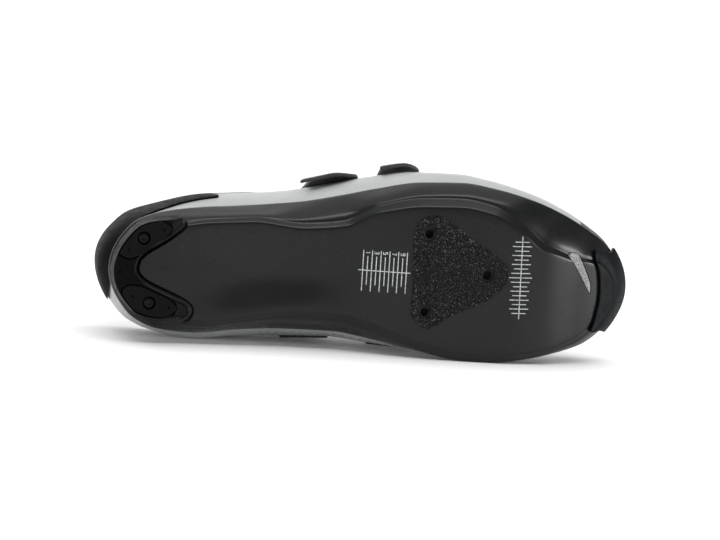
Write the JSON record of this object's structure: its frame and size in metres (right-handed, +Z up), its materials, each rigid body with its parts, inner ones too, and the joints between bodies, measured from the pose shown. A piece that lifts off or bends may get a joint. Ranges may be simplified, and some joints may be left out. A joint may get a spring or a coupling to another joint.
{
  "type": "cycling shoe",
  "caption": "Right road-cycling shoe with a stiff moulded sole, heel treads, toe guard and hook-and-loop straps, lying on its medial side.",
  "frame": {"origin": "centre of the shoe's box at the floor it lies on", "axes": "+X towards the toe, -Y the way the sole faces, +Z up from the medial side to the lateral side"},
  "size_m": [0.2736, 0.1088, 0.0941],
  "materials": {
    "composite_sole": null,
    "rubber": null,
    "tread_rubber": null,
    "screw_steel": null,
    "grip_pad": null,
    "insert_steel": null,
    "vent_mesh": null,
    "foot_bed": null,
    "upper_synthetic": null,
    "counter": null,
    "tongue_fabric": null,
    "strap": null
  },
  "bodies": {
    "root": {"sole_plate": "composite_sole", "heel_block": "rubber", "heel_tread_lateral": "tread_rubber", "heel_tread_medial": "tread_rubber", "tread_screw_lateral": "screw_steel", "tread_screw_medial": "screw_steel", "toe_bumper": "rubber", "cleat_pad": "grip_pad", "cleat_nut_front": "insert_steel", "cleat_nut_lateral": "insert_steel", "cleat_nut_medial": "insert_steel", "toe_vent_mesh": "vent_mesh", "insole": "foot_bed", "upper": "upper_synthetic", "heel_counter": "counter", "tongue": "tongue_fabric", "strap_instep": "strap", "strap_forefoot": "strap"}
  },
  "joints": []
}
